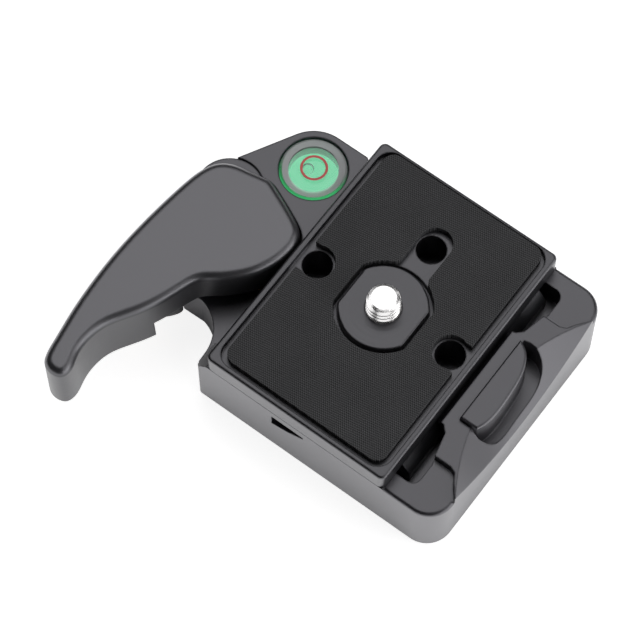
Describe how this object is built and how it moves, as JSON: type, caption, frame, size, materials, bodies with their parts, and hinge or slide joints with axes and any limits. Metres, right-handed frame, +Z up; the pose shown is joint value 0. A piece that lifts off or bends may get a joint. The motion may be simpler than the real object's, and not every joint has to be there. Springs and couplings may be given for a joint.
{
  "type": "quick release clamp",
  "caption": "Cast metal quick release clamp: a hinged lever with a cam locks a rubber faced camera plate against a fixed jaw, beside a small round level",
  "frame": {"origin": "centre of the tripod thread, on the flat face of the base", "axes": "+Z up towards the camera, +X across the jaws from the lever to the fixed jaw, +Y along the jaws"},
  "size_m": [0.0751, 0.071, 0.0228],
  "materials": {
    "body_alloy": "satin",
    "steel": "brushed",
    "screw_chrome": "polished",
    "brass": "turned",
    "dark_plastic": "matte",
    "rubber": "textured",
    "clear_vial": "clear",
    "green_liquid": "clear",
    "pale_backing": "gloss"
  },
  "bodies": {
    "clamp": {"clamp_body": "body_alloy", "lever_spring": "steel", "trigger_spring": "steel", "trigger_plug": "steel", "camera_plate": "body_alloy", "plate_pad": "rubber", "thread_bushing": "screw_chrome", "level_vial": "clear_vial", "level_liquid": "green_liquid", "level_base": "pale_backing"},
    "lever": {"lever": "body_alloy", "lever_screw": "steel", "lever_washer": "steel", "catch_pin": "brass", "catch_spring": "steel"},
    "catch": {"safety_catch": "dark_plastic"},
    "trigger": {"trigger_pin": "brass"},
    "screw": {"camera_screw": "screw_chrome"}
  },
  "joints": [
    {"name": "lever_hinge", "type": "hinge", "parent": "clamp", "child": "lever", "pos_m": [-0.0365, 0.0032, 0.006], "axis": [0, 0, 1], "range_deg": [-80, 0], "stiffness_Nm_per_rad": 0.02, "springref_deg": 20.05},
    {"name": "catch_hinge", "type": "hinge", "parent": "lever", "child": "catch", "pos_m": [-0.0386, -0.0216, 0.0084], "axis": [0, 0, 1], "range_deg": [0, 8]},
    {"name": "trigger_slide", "type": "slide", "parent": "clamp", "child": "trigger", "axis": [0, 0, 1], "range_m": [-0.0008, 0], "deforming": ["trigger_spring"]},
    {"name": "screw_turn", "type": "hinge", "parent": "clamp", "child": "screw", "pos_m": [0, 0, 0.019], "axis": [0, 0, 1], "continuous": true}
  ]
}
